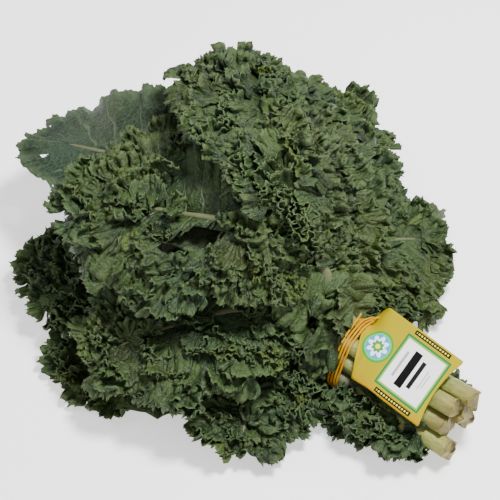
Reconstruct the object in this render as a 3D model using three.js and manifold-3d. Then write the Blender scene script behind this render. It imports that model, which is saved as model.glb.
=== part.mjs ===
// A bunch of curly kale lying on its side: twelve frilled leaves whose stalks are gathered by a
// strand wound round them, which also holds the neck of a card.
//
// Units are millimetres. While it is built, the bunch has the tie's middle at x = 0, y = 0 and the
// table at z = 0; the cut stalks point to +X and the leaves fan out towards -X. At the end it is
// shifted so that the origin is the middle of its bounding box, on the table.
import * as THREE from "three";
import { mergeVertices } from "three/addons/utils/BufferGeometryUtils.js";
import Module from "manifold-3d";

const wasm = await Module();
wasm.setup();
const { degToRad, lerp, smoothstep, clamp } = THREE.MathUtils;

// ---------------------------------------------------------------- driving dimensions

const STALK_R_TIE = 6.8; // stalk radius where the tie grips it
const STALK_R_CUT = 7.6; // at the cut end
const STALK_R_TIP = 0.9; // where the midrib ends
const STALK_PITCH = 14.4; // between neighbouring stalks under the tie
const ROW_RISE = STALK_PITCH * 0.87; // between the rows of the bundle
const STALK_SPREAD = 0.14; // how much wider the bundle is at the cut ends than under the tie
const STALK_LENGTH = { least: 90, most: 110 }; // from the tie to the cut end
const STALK_SIDES = 6;
const STALK_STEPS = 13;
const RIB_DEPTH = 1.6; // how far a midrib stands out of the back of its blade, in its radii
const FLAT = Math.cos(Math.PI / STALK_SIDES); // from a stalk's middle to its flat side
const TIE_RAISE = 4.6; // how far the tie holds the lowest stalks off the table
const TABLE_FROM = 45; // distance from the tie at which the cut stalks lie on the table
const STRAIGHT = 8; // a stalk runs straight this far past the tie

const BLADE_THICK = 0.8;
const BLADE_FOOT = 0.14; // half width of a blade where it starts, as a share of its widest
const SPINE_SHARE = 0.86; // how far along the blade the last side vein leaves the midrib
const VEIN_SLANT = 1.3; // how far the side veins lean towards the tip
const COLUMNS = [6, 12, 24, 48]; // steps along one half of a blade, from the midrib to the margin
const ROWS = [0, 0.4, 0.74, 1]; // where those rows lie between the midrib and the margin
const FOLDS = [
  // waves of a blade: how many along one half, how high as a share of the blade's half room, and
  // how they grow from the midrib to the margin
  { count: 4.6, height: 0.25, grow: 1.2 },
  { count: 12, height: 0.42, grow: 1.2 },
  { count: 24, height: 0.45, grow: 3.5 },
];
const LOBES = 0.07; // how far the second wave pushes the margin out and in, as a share of the width

const CORE_ROOM = 6; // a leaf's waves stay within this above and below its middle at the midrib
const EDGE_ROOM = 10.5; // and within this at the margin
const CLEAR = 1; // what a leaf keeps between itself and the top of the heap
const SETTLE = 4; // how far the lowest leaves are pressed onto the table
const FAN_OPEN = 95; // distance from the tie where the leaves lie freely on each other
const CELL = 5; // size of the cells in which the heap's height is kept
const FIELD = { x: -400, y: -250, columns: 124, rows: 100 };
const DRAPE = 5; // cells over which a leaf bends down past the edge of what it lies on
const LIFT_FROM = 0.35; // share of its reach from which a stiff leaf rises off what it lies on

const TURN_EARLY = 0.55; // share of a leaf's turn that it makes soon after the tie
const TURN_SOON = 60; // distance from the tie within which it makes that share
const TURN_LATE = 0.65; // share that it makes evenly up to its tip

// The leaves, row by row of the bundle from the table up, each row from -Y to +Y. turn is the
// leaf's heading away from -X in degrees, reach the length from the tie to the tip, width the
// blade's widest half, start where the blade begins, lift how far a stiff leaf's tip stands off
// what is under it, and back is true where it lies face down. A leaflet is a frilled strip beside
// the cut stalk: the side it is on, its width, and how high over the table its edge lies.
const BUNDLE = [
  [
    { turn: -44, reach: 236, width: 72, start: 30, leaflet: { side: -1, width: 34, end: 4.5 } },
    { turn: 6, reach: 286, width: 80, start: 40 },
    { turn: 62, reach: 262, width: 84, start: 30, leaflet: { side: 1, width: 24, end: 4.5 } },
  ],
  [
    { turn: -112, reach: 134, width: 64, start: 16, leaflet: { side: -1, width: 24, end: 23 } },
    { turn: -20, reach: 286, width: 80, start: 44 },
    { turn: 38, reach: 286, width: 84, start: 44, lift: 20 },
    { turn: 110, reach: 162, width: 64, start: 20 },
  ],
  [
    { turn: -54, reach: 208, width: 72, start: 40 },
    { turn: -2, reach: 332, width: 72, start: 60, lift: 54, back: true },
    { turn: 61, reach: 244, width: 78, start: 40, lift: 20 },
  ],
  [
    { turn: -18, reach: 244, width: 78, start: 52 },
    { turn: 42, reach: 262, width: 86, start: 52 },
  ],
];
const LEAFLET = { from: 8, to: 84, columns: 14, rows: [0, 0.5, 1], wave: 4.5, waves: 7 };

const STRAND_R = 1.1; // the tie is one strand wound round the bundle
const STRAND_SIDES = 6;
const STRAND_TURNS = 4;
const STRAND_RISE = 2.6; // from one turn to the next
const STRAND_GAP = 0.9; // between the strand and what it holds
const STRAND_FROM = 60; // where the strand starts, in degrees up from +Y
const STRAND_STEPS = 27; // steps in one turn
const TAIL_LIFT = 6; // how far the strand's two ends stand off the bundle
const TAIL_ARC = 40; // degrees over which they do

const CARD_THICK = 0.9;
const CARD_GAP = 1.8; // between the card and the stalks
const CARD_TILT = 18; // degrees that the card leans towards -Y
const CARD_OUTLINE = [
  // how far along the stalks, and the card's two edges across them there
  { along: -9, near: 5, far: 25 },
  { along: 5, near: 1, far: 27 },
  { along: 9, near: -12, far: 29 },
  { along: 17, near: -31, far: 29 },
  { along: 34, near: -33, far: 27 },
  { along: 51, near: -35, far: 25 },
  { along: 68, near: -37, far: 23 },
  { along: 85, near: -39, far: 21 },
];
const CARD_STEEP = 40; // how far down round the bundle its neck bends, in degrees
const CARD_COLUMNS = 6; // steps across the card
const CARD_FLAT_FROM = 34; // past this the card is flat; up to the tie it follows the bundle

// ---------------------------------------------------------------- helpers

// A repeatable random number generator.
function randomFrom(seed) {
  let state = seed;
  return () => {
    state = (state * 1664525 + 1013904223) % 4294967296;
    return state / 4294967296;
  };
}

// A closed mesh as a solid.
function solidOf(geometry) {
  const bare = geometry.clone();
  bare.deleteAttribute("normal");
  bare.deleteAttribute("uv");
  const merged = mergeVertices(bare, 1e-4);
  return new wasm.Manifold(
    new wasm.Mesh({
      numProp: 3,
      vertProperties: merged.attributes.position.array,
      triVerts: new Uint32Array(merged.index.array),
    }),
  );
}

function geometryOf(solid) {
  const { vertProperties, triVerts } = solid.getMesh();
  const geometry = new THREE.BufferGeometry();
  geometry.setAttribute("position", new THREE.BufferAttribute(vertProperties, 3));
  geometry.setIndex(new THREE.BufferAttribute(triVerts, 1));
  geometry.computeVertexNormals();
  return geometry;
}

// ---------------------------------------------------------------- the heap

// Height of the heap so far, in square cells over the table.
const heap = new Float32Array(FIELD.columns * FIELD.rows);

// The value of a field of cells at a place, smoothly between the cells' middles.
function heightAt(field, x, y) {
  const across = clamp((x - FIELD.x) / CELL, 0, FIELD.columns - 1.001);
  const up = clamp((y - FIELD.y) / CELL, 0, FIELD.rows - 1.001);
  const i = Math.floor(across);
  const j = Math.floor(up);
  const at = (a, b) => field[b * FIELD.columns + a];
  const low = lerp(at(i, j), at(i + 1, j), across - i);
  const high = lerp(at(i, j + 1), at(i + 1, j + 1), across - i);
  return lerp(low, high, up - j);
}

// Each cell takes a value made from its neighbours within reach, first along X and then along Y.
function sweepCells(field, reach, combine) {
  let from = field;
  for (const [stepX, stepY] of [
    [1, 0],
    [0, 1],
  ]) {
    const to = new Float32Array(from.length);
    for (let j = 0; j < FIELD.rows; j++) {
      for (let i = 0; i < FIELD.columns; i++) {
        const near = [];
        for (let k = -reach; k <= reach; k++) {
          const a = clamp(i + k * stepX, 0, FIELD.columns - 1);
          const b = clamp(j + k * stepY, 0, FIELD.rows - 1);
          near.push(from[b * FIELD.columns + a]);
        }
        to[j * FIELD.columns + i] = combine(near);
      }
    }
    from = to;
  }
  return from;
}

function widen(field, reach) {
  return sweepCells(field, reach, (near) => Math.max(...near));
}

// What the next leaf lies on: the heap, widened and then smoothed by as much.
function bedOf(field) {
  const widened = widen(field, DRAPE);
  return sweepCells(widened, DRAPE - 1, (near) => near.reduce((a, b) => a + b) / near.length);
}

// How far the bundle has opened into the heap at a place: 0 at the tie, 1 in the foliage.
function opening(x, y) {
  return smoothstep(Math.hypot(x, y), STRAIGHT, FAN_OPEN);
}

// Half the room that a leaf takes up at a place, v of the way from its midrib to its margin.
function halfRoom(x, y, v) {
  return lerp(STALK_R_TIE, lerp(CORE_ROOM, EDGE_ROOM, v * v), opening(x, y));
}

// Height of a leaf's middle at a place, v of the way from its midrib to its margin.
function restingHeight(leaf, x, y, v) {
  const bundled = STALK_R_TIE * FLAT + leaf.row * ROW_RISE + TIE_RAISE;
  const stands = (leaf.lift ?? 0) * smoothstep(Math.hypot(x, y), LIFT_FROM * leaf.reach, leaf.reach);
  const laid = heightAt(leaf.bed, x, y) + halfRoom(x, y, v) + stands;
  return lerp(bundled, laid, opening(x, y));
}

// The lowest that a leaf's sheet may lie at a place, over a rib of the given depth.
function lowest(leaf, x, y, rib) {
  const past = smoothstep(Math.hypot(x, y), STRAIGHT, 3 * STRAIGHT);
  return (heightAt(leaf.top, x, y) + CLEAR + rib) * past;
}

// ---------------------------------------------------------------- a leaf

// Heading of a leaf's midrib, in radians away from -X, at a distance from the tie.
function heading(leaf, along) {
  const past = Math.max(along - STRAIGHT, 0);
  const early = TURN_EARLY * smoothstep(past, 0, TURN_SOON);
  return degToRad(leaf.turn * (early + (TURN_LATE * past) / leaf.reach));
}

// The line of a leaf's midrib in plan, a point for each millimetre from the tie.
function midline(leaf) {
  const line = [{ x: 0, y: leaf.seat }];
  for (let along = 1; along <= leaf.reach + 1; along++) {
    const h = heading(leaf, along - 0.5);
    const last = line[along - 1];
    line.push({ x: last.x - Math.cos(h), y: last.y + Math.sin(h) });
  }
  return line;
}

// Place in plan of a point of the leaf: along the midrib, and out to its side.
function planPoint(leaf, along, aside) {
  const h = heading(leaf, along);
  const whole = Math.floor(along);
  const from = leaf.line[whole];
  const to = leaf.line[whole + 1];
  const x = lerp(from.x, to.x, along - whole) + aside * Math.sin(h);
  const y = lerp(from.y, to.y, along - whole) + aside * Math.cos(h);
  return [x, y];
}

// Where the blade's margin lies, from the tip at q = 0 round to the foot at q = 1.
function margin(leaf, q) {
  const angle = Math.PI * q + 0.143 * Math.sin(2 * Math.PI * q);
  const half = (leaf.reach - leaf.start) / 2;
  const swell = Math.sin(angle) ** (1 + 0.4 * q) * (1 + 0.15 * Math.cos(angle));
  return {
    along: leaf.start + half * (1 + Math.cos(angle)),
    aside: leaf.width * Math.max(swell, BLADE_FOOT * smoothstep(q, 0.5, 1)),
  };
}

// A point of the blade: side is -1 or 1, q runs from the tip to the foot, v from the midrib out.
function bladePoint(leaf, side, q, v) {
  const edge = margin(leaf, q);
  const spine = leaf.start + SPINE_SHARE * (leaf.reach - leaf.start) * (1 - q) ** VEIN_SLANT;
  const phases = leaf.phases[side < 0 ? 0 : 1];
  const angles = FOLDS.map((fold, i) => 2 * Math.PI * fold.count * q + phases[i]);
  const lobe = 1 + LOBES * v * Math.sin(angles[1]) * Math.sin(Math.PI * q);
  const [x, y] = planPoint(leaf, lerp(spine, edge.along, v), side * edge.aside * v * lobe);
  let wave = 0;
  FOLDS.forEach((fold, i) => {
    wave += fold.height * v ** fold.grow * Math.cos(angles[i]);
  });
  const press = leaf.row === 0 ? SETTLE * opening(x, y) : 0;
  const z = restingHeight(leaf, x, y, v) + halfRoom(x, y, v) * opening(x, y) * wave - press;
  const rib = RIB_DEPTH * ribRadius(leaf, edge.along) * (1 - v) ** 2;
  return new THREE.Vector3(x, y, Math.max(z, lowest(leaf, x, y, rib), BLADE_THICK / 2));
}

// The blade: a sheet of rows that get finer towards the margin, given a thickness.
function bladeGeometry(leaf) {
  const points = [];
  const ids = new Map();
  const idOf = (side, row, i) => {
    const shared = row === 0 || i === 0; // the midrib, and the line on to the tip
    const key = `${shared ? 0 : side} ${row} ${i}`;
    if (!ids.has(key)) {
      ids.set(key, points.length);
      points.push(bladePoint(leaf, side, i / COLUMNS[row], ROWS[row]));
    }
    return ids.get(key);
  };
  const sheet = [];
  const add = (side, a, b, c) => sheet.push(...(side > 0 ? [a, b, c] : [a, c, b]));
  for (const side of [1, -1]) {
    for (let row = 0; row + 1 < ROWS.length; row++) {
      for (let i = 0; i < COLUMNS[row]; i++) {
        const near = [idOf(side, row, i), idOf(side, row, i + 1)];
        const far = [0, 1, 2].map((j) => idOf(side, row + 1, i * 2 + j));
        add(side, near[0], far[1], far[0]);
        add(side, near[0], near[1], far[1]);
        add(side, near[1], far[2], far[1]);
      }
    }
  }
  const rim = [];
  const last = ROWS.length - 1;
  for (let i = COLUMNS[last]; i > 0; i--) rim.push(idOf(-1, last, i));
  for (let i = 0; i <= COLUMNS[last]; i++) rim.push(idOf(1, last, i));
  for (let row = last - 1; row >= 0; row--) rim.push(idOf(1, row, COLUMNS[row]));
  for (let row = 1; row < last; row++) rim.push(idOf(-1, row, COLUMNS[row]));
  return thicken(points, sheet, rim, BLADE_THICK);
}

// A closed solid from a sheet: the sheet raised and lowered by half the thickness, and its rim.
function thicken(points, sheet, rim, thick) {
  const flat = new THREE.BufferGeometry().setFromPoints(points);
  flat.setIndex(sheet);
  flat.computeVertexNormals();
  const normal = new THREE.Vector3();
  const raised = [];
  const lowered = [];
  points.forEach((p, i) => {
    normal.fromBufferAttribute(flat.attributes.normal, i);
    raised.push(p.clone().addScaledVector(normal, thick / 2));
    lowered.push(p.clone().addScaledVector(normal, -thick / 2));
  });
  const n = points.length;
  const faces = [...sheet];
  for (let i = 0; i < sheet.length; i += 3) {
    faces.push(n + sheet[i], n + sheet[i + 2], n + sheet[i + 1]);
  }
  rim.forEach((a, i) => {
    const b = rim[(i + 1) % rim.length];
    faces.push(a, b, n + a, b, n + b, n + a);
  });
  const closed = new THREE.BufferGeometry().setFromPoints([...raised, ...lowered]);
  closed.setIndex(faces);
  return closed;
}

// A closed solid from rows of points that each have n points, seen from the side where n runs left.
function thickenRows(points, n, thick) {
  const sheet = [];
  const rim = [];
  const last = points.length - n;
  for (let i = 0; i < last; i += n) {
    for (let j = i; j < i + n - 1; j++) sheet.push(j, j + n, j + n + 1, j, j + n + 1, j + 1);
  }
  for (let j = 0; j < n; j++) rim.push(j);
  for (let i = 2 * n - 1; i < last; i += n) rim.push(i);
  for (let j = n - 1; j >= 0; j--) rim.push(last + j);
  for (let i = last - n; i > 0; i -= n) rim.push(i);
  return thicken(points, sheet, rim, thick);
}

// Radius of the midrib at a distance from the tie.
function ribRadius(leaf, along) {
  return lerp(STALK_R_TIE, STALK_R_TIP, (along / leaf.reach) ** 0.7);
}

// Middle and radius of the stalk at a distance from the tie, negative towards the cut end.
function stalkRing(leaf, along) {
  if (along < 0) {
    const share = -along / STALK_LENGTH.most;
    const open = 1 + STALK_SPREAD * share;
    const radius = lerp(STALK_R_TIE, STALK_R_CUT, share);
    const raise = TIE_RAISE * Math.max(1 + along / TABLE_FROM, 0);
    const z = radius * FLAT + leaf.row * ROW_RISE * open + raise;
    return { middle: new THREE.Vector3(-along, leaf.seat * open, z), radius };
  }
  const [x, y] = planPoint(leaf, along, 0);
  const radius = ribRadius(leaf, along);
  const under = smoothstep(along, 0, leaf.start) * radius * (leaf.back ? 0.6 : -0.6);
  const sheet = Math.max(restingHeight(leaf, x, y, 0), lowest(leaf, x, y, RIB_DEPTH * radius));
  return { middle: new THREE.Vector3(x, y, Math.max(sheet + under, radius * FLAT)), radius };
}

// The stalk and midrib: a cylinder bent along its line, tapering to the tip.
function stalkGeometry(leaf) {
  const turn = Math.PI / STALK_SIDES; // a flat side faces down
  const geometry = new THREE.CylinderGeometry(1, 1, 1, STALK_SIDES, STALK_STEPS, false, turn);
  const to = lerp(leaf.start, leaf.reach, SPINE_SHARE + 0.06);
  const rings = [-leaf.stalk, -TABLE_FROM, 0];
  const bends = STALK_STEPS - rings.length;
  for (let i = 0; i <= bends; i++) rings.push(lerp(STRAIGHT, to, i / bends));
  const place = geometry.attributes.position;
  const p = new THREE.Vector3();
  for (let i = 0; i < place.count; i++) {
    p.fromBufferAttribute(place, i);
    const along = rings[Math.round((p.y + 0.5) * STALK_STEPS)];
    const { middle, radius } = stalkRing(leaf, along);
    const forward = stalkRing(leaf, Math.max(along, 0) + 1).middle;
    forward.sub(stalkRing(leaf, Math.max(along, 0)).middle).normalize();
    const aside = new THREE.Vector3(0, 0, 1).cross(forward).normalize();
    const up = forward.clone().cross(aside);
    middle.addScaledVector(aside, p.x * radius).addScaledVector(up, -p.z * radius);
    place.setXYZ(i, middle.x, middle.y, middle.z);
  }
  return geometry;
}

// The frilled strip of blade that runs down beside a stalk, past the tie towards the cut end.
function leafletGeometry(leaf) {
  const { side, end } = leaf.leaflet;
  const points = [];
  for (let i = 0; i <= LEAFLET.columns; i++) {
    const share = side > 0 ? i / LEAFLET.columns : 1 - i / LEAFLET.columns;
    const root = stalkRing(leaf, -lerp(LEAFLET.from, LEAFLET.to, share));
    const width = leaf.leaflet.width * Math.sin(Math.PI * lerp(0.1, 0.94, share)) ** 0.7;
    for (const v of LEAFLET.rows) {
      const wave = LEAFLET.wave * v * Math.cos(2 * Math.PI * LEAFLET.waves * share + v);
      const y = root.middle.y + side * (root.radius * 0.4 + width * v);
      const z = Math.max(lerp(root.middle.z, end, v) + wave, BLADE_THICK / 2);
      points.push(new THREE.Vector3(root.middle.x, y, z));
    }
  }
  return thickenRows(points, LEAFLET.rows.length, BLADE_THICK);
}

function makeLeaf(leaf) {
  let solid = solidOf(bladeGeometry(leaf)).add(solidOf(stalkGeometry(leaf)));
  if (leaf.leaflet) solid = solid.add(solidOf(leafletGeometry(leaf)));
  return geometryOf(solid);
}

// Raises the heap under a leaf to the leaf's top.
function layOnHeap(leaf) {
  const raise = (x, y, z) => {
    const i = Math.round((x - FIELD.x) / CELL);
    const j = Math.round((y - FIELD.y) / CELL);
    const cell = j * FIELD.columns + i;
    heap[cell] = Math.max(heap[cell], z);
  };
  for (const side of [-1, 1]) {
    for (let q = 0; q <= 1; q += 1 / 120) {
      for (let v = 0; v <= 1; v += 1 / 24) {
        const { x, y, z } = bladePoint(leaf, side, q, v);
        raise(x, y, z + BLADE_THICK);
      }
    }
  }
  for (let along = 3 * STRAIGHT; along < leaf.reach * SPINE_SHARE; along += CELL / 2) {
    const { middle, radius } = stalkRing(leaf, along);
    raise(middle.x, middle.y, middle.z + radius);
  }
}

// ---------------------------------------------------------------- the tie and the card

// How far the bundle of cut stalks reaches in a direction across them, in degrees up from +Y.
function bundleReach(leaves, x, degrees) {
  const angle = degToRad(degrees);
  const reaches = leaves.map((leaf) => {
    const { middle, radius } = stalkRing(leaf, -x);
    return middle.y * Math.cos(angle) + middle.z * Math.sin(angle) + radius;
  });
  return Math.max(...reaches);
}

// Height over a place of what is wrapped taut over the bundle's top, no steeper than CARD_STEEP.
function bundleTop(leaves, x, y) {
  let top = Infinity;
  for (let degrees = 90 - CARD_STEEP; degrees <= 90 + CARD_STEEP; degrees += 5) {
    const angle = degToRad(degrees);
    const reach = bundleReach(leaves, x, degrees);
    top = Math.min(top, (reach - y * Math.cos(angle)) / Math.sin(angle));
  }
  return top;
}

// The tie: a strand wound round the stalks and over the neck of the card, its two ends loose.
function makeTie(leaves) {
  const held = leaves.map((leaf) => stalkRing(leaf, 0));
  for (const spot of cardPoints(leaves).slice(0, 2 * (CARD_COLUMNS + 1))) {
    held.push({ middle: spot, radius: CARD_THICK / 2 });
  }
  const points = [];
  const steps = STRAND_TURNS * STRAND_STEPS;
  for (let i = 0; i <= steps; i++) {
    const degrees = STRAND_FROM + (360 * i) / STRAND_STEPS;
    const angle = degToRad(degrees);
    const outward = new THREE.Vector3(0, Math.cos(angle), Math.sin(angle));
    const reach = (ring) => ring.middle.dot(outward) + ring.radius;
    const outer = held.reduce((a, b) => (reach(b) > reach(a) ? b : a));
    const fromEnd = (360 * Math.min(i, steps - i)) / STRAND_STEPS;
    const tail = TAIL_LIFT * (1 - smoothstep(fromEnd, 0, TAIL_ARC));
    const off = outer.radius + STRAND_GAP + STRAND_R + tail;
    const x = STRAND_RISE * (i / STRAND_STEPS - STRAND_TURNS / 2);
    points.push(outer.middle.clone().setX(x).addScaledVector(outward, off));
  }
  const section = new THREE.Shape();
  section.absarc(0, 0, STRAND_R, 0, 2 * Math.PI);
  return new THREE.ExtrudeGeometry(section, {
    steps,
    curveSegments: STRAND_SIDES / 2,
    bevelEnabled: false,
    extrudePath: new THREE.CatmullRomCurve3(points),
  });
}

// The card's middle surface: its neck follows the bundle, and past it the card flattens and leans.
function cardPoints(leaves) {
  const lean = degToRad(CARD_TILT);
  const off = CARD_GAP + CARD_THICK / 2;
  const points = [];
  CARD_OUTLINE.forEach(({ along, near, far }) => {
    const reach = bundleReach(leaves, along, 90 + CARD_TILT) + off;
    for (let j = 0; j <= CARD_COLUMNS; j++) {
      const across = lerp(near, far, j / CARD_COLUMNS);
      const wrapped = new THREE.Vector3(along, across, bundleTop(leaves, along, across) + off);
      const aside = across + Math.sin(lean) * reach;
      const flat = new THREE.Vector3(
        along,
        aside * Math.cos(lean) - reach * Math.sin(lean),
        aside * Math.sin(lean) + reach * Math.cos(lean),
      );
      points.push(wrapped.lerp(flat, smoothstep(along, 0, CARD_FLAT_FROM)));
    }
  });
  return points;
}

function makeCard(leaves) {
  return thickenRows(cardPoints(leaves), CARD_COLUMNS + 1, CARD_THICK);
}

// ---------------------------------------------------------------- the bunch

const LEAF_LOOK = { color: 0x3f5a33, roughness: 0.6, metalness: 0 };
const TIE_LOOK = { color: 0xe6a01e, roughness: 0.5, metalness: 0 };
const CARD_LOOK = { color: 0xf7d51c, roughness: 0.45, metalness: 0 };

const bunch = new THREE.Group();
const pieces = new THREE.Group();
bunch.add(pieces);

function addPiece(name, geometry, look) {
  const mesh = new THREE.Mesh(geometry, new THREE.MeshStandardMaterial(look));
  mesh.name = name;
  pieces.add(mesh);
}

const leaves = [];
BUNDLE.forEach((forms, row) => {
  forms.forEach((form, place) => {
    const number = leaves.length + 1;
    const random = randomFrom(number * 7919);
    const leaf = { ...form, row, seat: (place - (forms.length - 1) / 2) * STALK_PITCH };
    leaf.bed = bedOf(heap);
    leaf.top = widen(heap, 1);
    leaf.phases = [-1, 1].map(() => FOLDS.map(() => random() * 2 * Math.PI));
    leaf.stalk = lerp(STALK_LENGTH.least, STALK_LENGTH.most, random());
    leaf.line = midline(leaf);
    addPiece(`leaf_${String(number).padStart(2, "0")}`, makeLeaf(leaf), LEAF_LOOK);
    layOnHeap(leaf);
    leaves.push(leaf);
  });
});
addPiece("tie", makeTie(leaves), TIE_LOOK);
addPiece("card", makeCard(leaves), CARD_LOOK);

const box = new THREE.Box3().setFromObject(pieces);
const middle = box.getCenter(new THREE.Vector3());
pieces.position.set(-middle.x, -middle.y, -box.min.z);

export default bunch;
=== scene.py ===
"""A bunch of curly kale lying on its side, with the strand that ties it and the card that it holds.

Lengths are metres. The bunch lies along X with its cut stalks towards +X, on a surface at z = 0.
Two pieces stand for each leaf: a stalk with its midrib, and foliage. Foliage is made of sheets: an
inner blade, and fans of blade stood on it, which carry the frilled margin. Each sheet is a grid
whose columns run round the margin (t or u) and whose rows run outwards (v or s).
"""

import math

import bmesh
import bpy
import numpy as np
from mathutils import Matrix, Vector
from mathutils.bvhtree import BVHTree


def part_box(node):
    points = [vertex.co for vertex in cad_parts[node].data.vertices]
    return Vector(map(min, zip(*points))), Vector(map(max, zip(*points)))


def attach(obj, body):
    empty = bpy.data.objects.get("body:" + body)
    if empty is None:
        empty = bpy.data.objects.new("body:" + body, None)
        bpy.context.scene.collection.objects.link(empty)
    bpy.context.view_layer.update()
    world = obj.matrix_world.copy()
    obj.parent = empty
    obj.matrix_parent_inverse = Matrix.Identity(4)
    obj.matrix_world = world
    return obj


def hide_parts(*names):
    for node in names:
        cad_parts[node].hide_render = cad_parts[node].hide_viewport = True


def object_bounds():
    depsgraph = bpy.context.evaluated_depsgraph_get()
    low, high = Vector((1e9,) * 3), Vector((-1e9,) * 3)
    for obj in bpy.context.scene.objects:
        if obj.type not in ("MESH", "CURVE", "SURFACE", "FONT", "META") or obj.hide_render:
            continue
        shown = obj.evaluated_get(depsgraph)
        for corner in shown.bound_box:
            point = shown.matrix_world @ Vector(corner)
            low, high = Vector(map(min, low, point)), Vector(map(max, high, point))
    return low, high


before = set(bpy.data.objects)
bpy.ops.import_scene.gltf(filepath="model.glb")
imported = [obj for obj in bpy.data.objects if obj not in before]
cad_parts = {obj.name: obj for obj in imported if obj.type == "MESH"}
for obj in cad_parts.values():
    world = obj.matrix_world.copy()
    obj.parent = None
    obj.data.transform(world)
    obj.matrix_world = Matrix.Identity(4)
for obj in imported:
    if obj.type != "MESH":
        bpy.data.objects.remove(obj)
cad_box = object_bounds()

WHOLE_TURN = 2 * math.pi

# ------------------------------------------------------------------ sizes of the bundle

TIE_AT = Vector((0.11162, -0.0228, 0.027))  # the middle of the bundle of stalks under the tie
TABLE = 0.0004  # the lowest that a sheet's middle may lie

# Stalks: from one to the next at the tie, and their radius at the tie, at the cut and at the leaf's
# tip. Towards the cut ends the bundle opens, by this share over the length of the longest stalk.
STALK_PITCH = 0.0144
STALK_R_TIE = 0.0068
STALK_R_CUT = 0.0076
STALK_R_TIP = 0.0009
STALK_LONGEST = 0.110
STALK_SPREAD = 0.14
STALK_RINGS = 80
STALK_SIDES = 20
STALK_EVENED = 3  # rounds of evening along its middle line
STALK_PAST_VEINS = 0.06  # a midrib runs on past its last side veins, by this share of the blade
RIB_TAPER = 0.7  # the power by which it thins on its way to the tip
# How far the middle of a midrib and of a cut stalk lie under the top of the plain leaf, in radii.
RIB_UNDER = 0.9
CUT_UNDER = 0.87
RIDGES = [(5, 0.045), (9, 0.02)]  # ridges round a stalk, and how high they stand, in radii
CUT_SHORT = 0.002  # the plain leaf is felt this far short of its cut end
CUT_SLOPE = 0.6  # the most that a cut slopes, either way across the stalk
CUT_RIM = 0.0012  # the width of the rim round it
CUT_SUNK = 0.0006

# A leaf runs straight out of the tie, takes one share of its turn soon, and another spread over
# its whole length.
STRAIGHT = 0.008
TURN_EARLY = 0.55
TURN_SOON = 0.060
TURN_LATE = 0.65

# Side veins leave the midrib over this share of the blade's length, slanted forwards by a power.
SPINE_SHARE = 0.86
VEIN_SLANT = 1.3

# The outline of a blade: how the steps round it are evened, how it is drawn in towards its foot
# and filled out towards its tip, and its width at the foot as a share of its widest.
MARGIN_EVENED = 0.143
MARGIN_DRAWN_IN = 0.4
MARGIN_FILLED_OUT = 0.15
BLADE_FOOT = 0.14
BLADE_THICK = 0.0006

# ------------------------------------------------------------------ sizes of the leaves

# Places eaten through the blades of two leaves: round from the tip (t), outwards (v), and the
# radius. Those of the curly leaf run into one another, as one torn gap.
PLAIN_LEAF_HOLES = [
    (-0.10, 0.60, 0.0040),
    (-0.24, 0.70, 0.0035),
    (-0.33, 0.66, 0.0045),
    (0.07, 0.9, 0.003),
]
CURLY_LEAF_HOLES = [
    (-0.53, 0.16, 0.008),
    (-0.50, 0.24, 0.010),
    (-0.45, 0.34, 0.009),
    (-0.41, 0.42, 0.006),
]
HOLE_RAGGED = 0.3  # how uneven a hole's edge is, as a share of its radius
HOLE_BEAT = 9  # how fast it changes from face to face

# The leaves, row by row of the bundle from the surface up, each row from -Y to +Y: heading away
# from -X in degrees, length from the tie to the tip, widest half, and where the blade begins.
# Leaflet is the strip of blade beside the cut stalk: its side, its width, the height of its edge
# and where it begins, from the tie towards the cut. Trim is how much of the blade's width the fans
# stand on, where its margin curls in. Bare places, given as holes are, have no fans and show the
# blade. A plain leaf has no fans at all.
ROWS = [
    [
        dict(turn=-44, reach=0.236, width=0.072, start=0.030, leaflet=(-1, 0.034, 0.006, -0.026)),
        dict(turn=6, reach=0.286, width=0.080, start=0.040),
        dict(turn=62, reach=0.262, width=0.084, start=0.030, leaflet=(1, 0.024, 0.006, 0.008)),
    ],
    [
        dict(
            turn=-112, reach=0.134, width=0.064, start=0.016, trim=0.84,
            leaflet=(-1, 0.026, 0.024, 0.008),
        ),
        dict(turn=-20, reach=0.286, width=0.080, start=0.044),
        dict(turn=38, reach=0.286, width=0.084, start=0.044),
        dict(turn=110, reach=0.162, width=0.064, start=0.020, bare=[(0.20, 0.22, 0.024)]),
    ],
    [
        dict(turn=-54, reach=0.208, width=0.072, start=0.040),
        dict(
            turn=-2, reach=0.332, width=0.072, start=0.060, plain=True, holes=PLAIN_LEAF_HOLES,
        ),
        dict(turn=61, reach=0.244, width=0.078, start=0.040, trim=0.90),
    ],
    [
        dict(
            turn=-18, reach=0.244, width=0.078, start=0.052, holes=CURLY_LEAF_HOLES,
            bare=[(0.44, 0.35, 0.029), (-0.50, 0.24, 0.020)],
        ),
        dict(turn=42, reach=0.262, width=0.086, start=0.052, trim=0.92),
    ],
]

# The inner blade, as a grid of columns round it and rows outwards: where fans hide it, where it
# shows in part, and where it is the whole blade. Under fans it ends short of the margin, and the
# plain leaf is narrowed on one side.
HIDDEN_GRID = (96, 6)
BARE_GRID = (200, 16)
PLAIN_GRID = (400, 20)
INNER_SHARE = 0.86
PLAIN_NARROWED = 0.22
BLADE_VEINS = 26
BLADE_TONE = 0.4
SEAM = 0.00003  # points of its two halves this near each other along the midrib are one

# The folds of a blade round its margin, broad ones first: how many, the knots of the random line
# that shifts them, how high, from where to where outwards they rise, and how they overhang.
PLAIN_FOLDS = [(9, 30, 0.0035, (0.2, 1), 0.0008), (26, 90, 0.0016, (0.5, 1), 0.0004)]
INNER_FOLDS = [(7, 24, 0.004, (0.1, 1), 0)]
BARE_FOLDS = INNER_FOLDS + [(24, 80, 0.0012, (0.1, 0.5), 0.0004)]
# The margin of the plain leaf: its lobes, how deeply they are cut, and its teeth, as for fans.
PLAIN_LOBES = 11
PLAIN_LOBE_DEPTH = 0.005
PLAIN_TEETH = (0.0014, 0.0012)

# ------------------------------------------------------------------ sizes of the frill

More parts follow.
